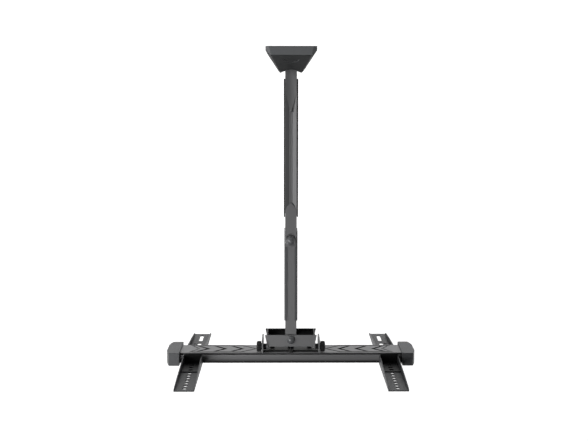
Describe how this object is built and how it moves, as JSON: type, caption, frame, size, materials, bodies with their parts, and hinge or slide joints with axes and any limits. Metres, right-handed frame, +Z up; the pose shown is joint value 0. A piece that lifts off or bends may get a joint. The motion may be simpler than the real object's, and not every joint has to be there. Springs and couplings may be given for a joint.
{
  "type": "television wall mount",
  "caption": "Full-motion wall mount for a television: a wall bracket, a folding arm, a tilting head, a crossbar with chevron cut-outs, and sliding rails for the screen.",
  "frame": {"origin": "middle of the wall plate's back face, on the wall", "axes": "+Z up, -Y straight out from the wall into the room, +X to the right for someone who faces the wall"},
  "size_m": [0.511, 0.6387, 0.43],
  "materials": {
    "powder_coated_steel": "fine matte powder coat",
    "black_steel": "black powder coat",
    "moulded_grey": "fine moulded texture",
    "moulded_black": "moulded black",
    "washer_nylon": "smooth",
    "zinc_steel": "zinc plated"
  },
  "bodies": {
    "wall": {"wall_plate": "powder_coated_steel", "wall_lugs": "powder_coated_steel", "upper_cover": "moulded_grey", "lower_cover": "moulded_grey", "wall_pivot_bolt": "zinc_steel", "wall_pivot_nut": "zinc_steel", "wall_washers": "washer_nylon"},
    "arm_one": {"first_arm": "powder_coated_steel", "first_cable_cover": "moulded_black", "elbow_bolt": "zinc_steel", "elbow_nut": "zinc_steel", "elbow_top_cap": "moulded_grey", "elbow_bottom_cap": "moulded_grey", "elbow_washers": "washer_nylon"},
    "arm_two": {"second_arm": "powder_coated_steel", "second_cable_cover": "moulded_grey"},
    "head": {"head_bracket": "powder_coated_steel", "head_bolt": "zinc_steel", "head_nut": "zinc_steel", "head_top_cap": "moulded_grey", "head_bottom_cap": "moulded_grey", "head_washers": "washer_nylon"},
    "tilt": {"tilt_bracket": "powder_coated_steel", "tilt_spacers": "zinc_steel", "level_bolt": "zinc_steel", "level_nut": "zinc_steel"},
    "left_knob": {"left_tilt_stud": "zinc_steel", "left_tilt_knob": "moulded_black"},
    "right_knob": {"right_tilt_stud": "zinc_steel", "right_tilt_knob": "moulded_black"},
    "bar": {"bar_channel": "powder_coated_steel", "bar_inner_channel": "black_steel", "bar_face_panel": "powder_coated_steel", "level_screws": "zinc_steel", "left_end_cap": "moulded_grey", "right_end_cap": "moulded_grey"},
    "left_screen_rail": {"left_rail": "black_steel", "left_hook": "black_steel", "left_lower_clip": "black_steel", "left_lock_screw": "zinc_steel"},
    "right_screen_rail": {"right_rail": "black_steel", "right_hook": "black_steel", "right_lower_clip": "black_steel", "right_lock_screw": "zinc_steel"}
  },
  "joints": [
    {"name": "wall_swivel", "type": "hinge", "parent": "wall", "child": "arm_one", "pos_m": [0, -0.03, 0], "axis": [0, 0, 1], "range_deg": [-90, 90]},
    {"name": "elbow", "type": "hinge", "parent": "arm_one", "child": "arm_two", "pos_m": [0, -0.3835, 0], "axis": [0, 0, -1], "range_deg": [-120, 120]},
    {"name": "head_swivel", "type": "hinge", "parent": "arm_two", "child": "head", "pos_m": [0, -0.5876, 0], "axis": [0, 0, 1], "range_deg": [-60, 60]},
    {"name": "tilt", "type": "hinge", "parent": "head", "child": "tilt", "pos_m": [0, -0.602, 0.026], "axis": [1, 0, 0], "range_deg": [-5, 15]},
    {"name": "level", "type": "hinge", "parent": "tilt", "child": "bar", "pos_m": [0, -0.6139, 0], "axis": [0, 1, 0], "range_deg": [-3, 3]},
    {"name": "left_knob_turn", "type": "hinge", "parent": "tilt", "child": "left_knob", "pos_m": [-0.0592, -0.602, 0.026], "axis": [-1, 0, 0], "range_deg": [0, 270]},
    {"name": "right_knob_turn", "type": "hinge", "parent": "tilt", "child": "right_knob", "pos_m": [0.0592, -0.602, 0.026], "axis": [1, 0, 0], "range_deg": [0, 270]},
    {"name": "left_rail_slide", "type": "slide", "parent": "bar", "child": "left_screen_rail", "axis": [-1, 0, 0], "range_m": [-0.1, 0.005]},
    {"name": "right_rail_slide", "type": "slide", "parent": "bar", "child": "right_screen_rail", "axis": [1, 0, 0], "range_m": [-0.1, 0.005]}
  ]
}
